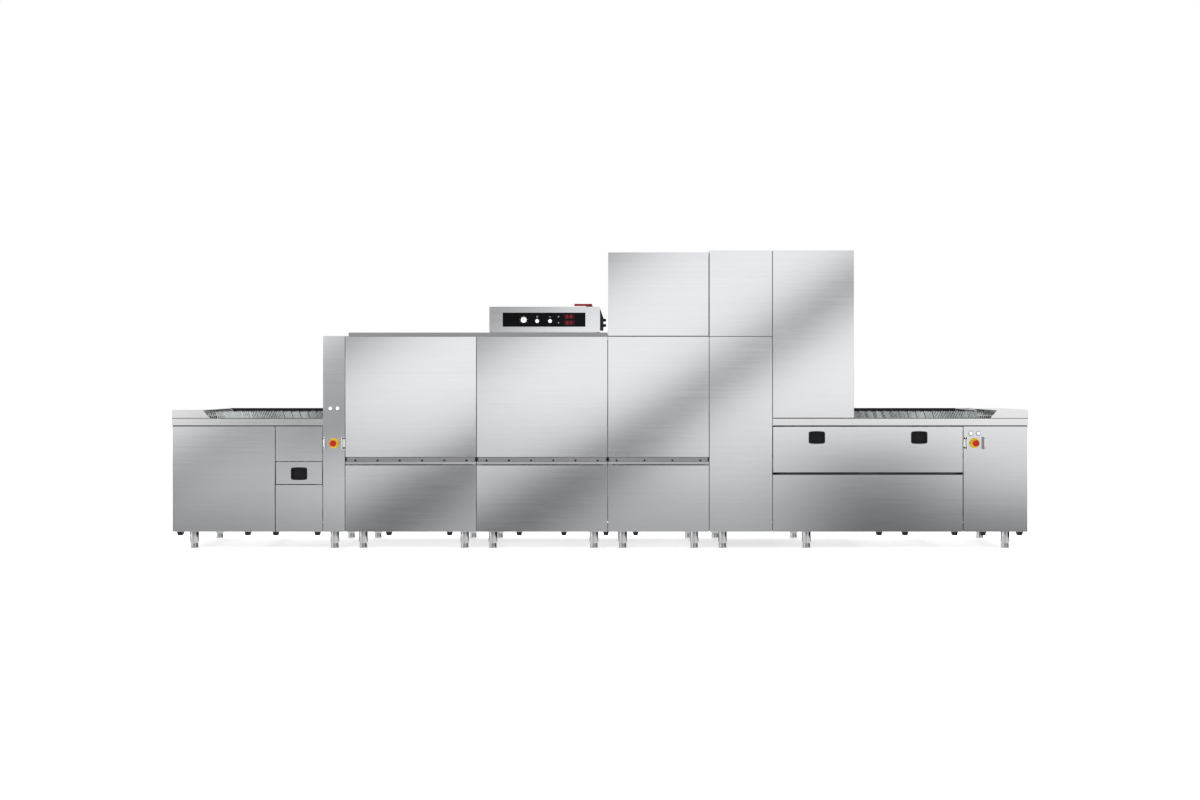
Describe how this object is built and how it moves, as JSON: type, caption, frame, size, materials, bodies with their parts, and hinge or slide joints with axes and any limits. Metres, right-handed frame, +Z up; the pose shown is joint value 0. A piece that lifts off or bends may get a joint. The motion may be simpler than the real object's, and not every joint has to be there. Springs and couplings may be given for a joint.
{
  "type": "commercial dishwasher",
  "caption": "Long flight-type belt dishwasher: loading and unloading tables with a fingered belt, lift doors, dryer tower, hood and top control box.",
  "frame": {"origin": "on the floor, under the centre of the machine's length and depth", "axes": "+X along the belt's travel, from loading to unloading; -Y the operator's side; +Z up"},
  "size_m": [5.736, 1.018, 2.002],
  "materials": {
    "skin_steel": "brushed, satin",
    "frame_steel": "mill finish",
    "inner_steel": "pickled, dull",
    "foot_steel": "turned",
    "screw_steel": "bright",
    "black_plastic": "moulded, fine grain",
    "dark_glass": "polished",
    "isolator_red": "moulded",
    "stop_red": "moulded",
    "stop_yellow": "moulded",
    "white_plastic": "moulded",
    "belt_plastic": "moulded",
    "curtain_rubber": "smooth",
    "pump_paint": "sprayed",
    "bearing_iron": "as cast, painted",
    "fan_metal": "rolled",
    "display_red": "lit",
    "lamp_white": "lit"
  },
  "bodies": {
    "cabinet": {"base_frame": "frame_steel", "feet_front": "foot_steel", "feet_rear": "foot_steel", "frame_posts": "frame_steel", "rear_panels": "skin_steel", "roof_panels": "skin_steel", "machine_front_panels": "skin_steel", "loading_panels": "skin_steel", "unloading_panels": "skin_steel", "door_sills": "skin_steel", "sill_screws": "screw_steel", "entry_column": "skin_steel", "hood": "skin_steel", "rinse_casing": "skin_steel", "dryer_casing": "skin_steel", "table_rims": "skin_steel", "end_covers": "skin_steel", "end_panels": "skin_steel", "tanks": "inner_steel", "pumps": "pump_paint", "spray_arms": "inner_steel", "curtains": "curtain_rubber", "shaft_bearings": "bearing_iron", "gearmotor": "pump_paint", "guide_rails": "frame_steel", "flap_hinge": "frame_steel", "stop_collars": "stop_yellow", "stop_guards": "skin_steel", "control_box": "skin_steel", "control_glass": "dark_glass", "control_box_fittings": "black_plastic", "fan_housing": "fan_metal", "service_stubs": "inner_steel"},
    "wash_door_1": {"wash_door_1": "skin_steel"},
    "wash_door_2": {"wash_door_2": "skin_steel"},
    "rinse_door": {"rinse_door": "skin_steel"},
    "drawer": {"drawer": "skin_steel", "drawer_pull": "black_plastic"},
    "flap": {"flap": "skin_steel", "flap_pulls": "black_plastic"},
    "isolator": {"isolator_handle": "isolator_red"},
    "program_knob": {"program_knob": "white_plastic"},
    "entry_button_left": {"entry_button_left": "white_plastic"},
    "entry_button_right": {"entry_button_right": "white_plastic"},
    "exit_button_left": {"exit_button_left": "white_plastic"},
    "exit_button_right": {"exit_button_right": "white_plastic"},
    "panel_button_left": {"panel_button_left": "white_plastic"},
    "panel_button_right": {"panel_button_right": "white_plastic"},
    "entry_stop": {"entry_stop_head": "stop_red"},
    "exit_stop": {"exit_stop_head": "stop_red"},
    "limit_bar": {"limit_bar": "frame_steel"},
    "belt_upper": {"belt_rows_loading": "belt_plastic", "belt_rows_tunnel": "belt_plastic", "belt_rows_unloading": "belt_plastic"},
    "belt_return": {"belt_rows_return": "belt_plastic"},
    "idler": {"idler_shaft": "inner_steel", "belt_turn_infeed": "belt_plastic"},
    "drive": {"drive_shaft": "inner_steel", "belt_turn_outfeed": "belt_plastic"},
    "fan": {"fan_wheel": "fan_metal"}
  },
  "joints": [
    {"name": "wash_door_1_lift", "type": "slide", "parent": "cabinet", "child": "wash_door_1", "axis": [0, 0, 1], "range_m": [0, 0.48]},
    {"name": "wash_door_2_lift", "type": "slide", "parent": "cabinet", "child": "wash_door_2", "axis": [0, 0, 1], "range_m": [0, 0.48]},
    {"name": "rinse_door_lift", "type": "slide", "parent": "cabinet", "child": "rinse_door", "axis": [0, 0, 1], "range_m": [0, 0.48]},
    {"name": "drawer_slide", "type": "slide", "parent": "cabinet", "child": "drawer", "axis": [0, -1, 0], "range_m": [0, 0.34]},
    {"name": "flap_drop", "type": "hinge", "parent": "cabinet", "child": "flap", "pos_m": [1.797, -0.443, 0.507], "axis": [1, 0, 0], "range_deg": [0, 90]},
    {"name": "isolator_turn", "type": "hinge", "parent": "cabinet", "child": "isolator", "pos_m": [-0.068, -0.29, 1.64], "axis": [0, 0, -1], "range_deg": [0, 90]},
    {"name": "program_knob_turn", "type": "hinge", "parent": "cabinet", "child": "program_knob", "pos_m": [-0.513, -0.41, 1.538], "axis": [0, -1, 0], "range_deg": [-90, 90]},
    {"name": "entry_button_left_press", "type": "slide", "parent": "cabinet", "child": "entry_button_left", "axis": [0, 1, 0], "range_m": [0, 0.003], "stiffness_N_per_m": 600},
    {"name": "entry_button_right_press", "type": "slide", "parent": "cabinet", "child": "entry_button_right", "axis": [0, 1, 0], "range_m": [0, 0.003], "stiffness_N_per_m": 600},
    {"name": "exit_button_left_press", "type": "slide", "parent": "cabinet", "child": "exit_button_left", "axis": [0, 1, 0], "range_m": [0, 0.003], "stiffness_N_per_m": 600},
    {"name": "exit_button_right_press", "type": "slide", "parent": "cabinet", "child": "exit_button_right", "axis": [0, 1, 0], "range_m": [0, 0.003], "stiffness_N_per_m": 600},
    {"name": "panel_button_left_press", "type": "slide", "parent": "cabinet", "child": "panel_button_left", "axis": [0, 1, 0], "range_m": [0, 0.002], "stiffness_N_per_m": 600},
    {"name": "panel_button_right_press", "type": "slide", "parent": "cabinet", "child": "panel_button_right", "axis": [0, 1, 0], "range_m": [0, 0.002], "stiffness_N_per_m": 600},
    {"name": "entry_stop_press", "type": "slide", "parent": "cabinet", "child": "entry_stop", "axis": [0, 1, 0], "range_m": [0, 0.005], "stiffness_N_per_m": 1500},
    {"name": "exit_stop_press", "type": "slide", "parent": "cabinet", "child": "exit_stop", "axis": [0, 1, 0], "range_m": [0, 0.005], "stiffness_N_per_m": 1500},
    {"name": "limit_bar_tilt", "type": "hinge", "parent": "cabinet", "child": "limit_bar", "pos_m": [2.6, 0, 0.845], "axis": [0, 1, 0], "range_deg": [0, 12], "stiffness_Nm_per_rad": 4},
    {"name": "belt_run", "type": "slide", "parent": "cabinet", "child": "belt_upper", "axis": [1, 0, 0], "range_m": [0, 0.058]},
    {"name": "belt_return_run", "type": "slide", "parent": "cabinet", "child": "belt_return", "axis": [-1, 0, 0], "range_m": [0, 0.058]},
    {"name": "idler_turn", "type": "hinge", "parent": "cabinet", "child": "idler", "pos_m": [-2.639, 0, 0.71369], "axis": [0, 1, 0], "range_deg": [0, 36.1]},
    {"name": "drive_turn", "type": "hinge", "parent": "cabinet", "child": "drive", "pos_m": [2.639, 0, 0.71369], "axis": [0, 1, 0], "range_deg": [0, 36.1]},
    {"name": "fan_spin", "type": "hinge", "parent": "cabinet", "child": "fan", "pos_m": [0.944, 0, 1.7], "axis": [0, 1, 0], "continuous": true}
  ],
  "couplings": [
    {"joint": "belt_return_run", "follows": "belt_run", "ratio": 1},
    {"joint": "idler_turn", "follows": "belt_run", "rad_per_m": 10.833},
    {"joint": "drive_turn", "follows": "belt_run", "rad_per_m": 10.833}
  ]
}
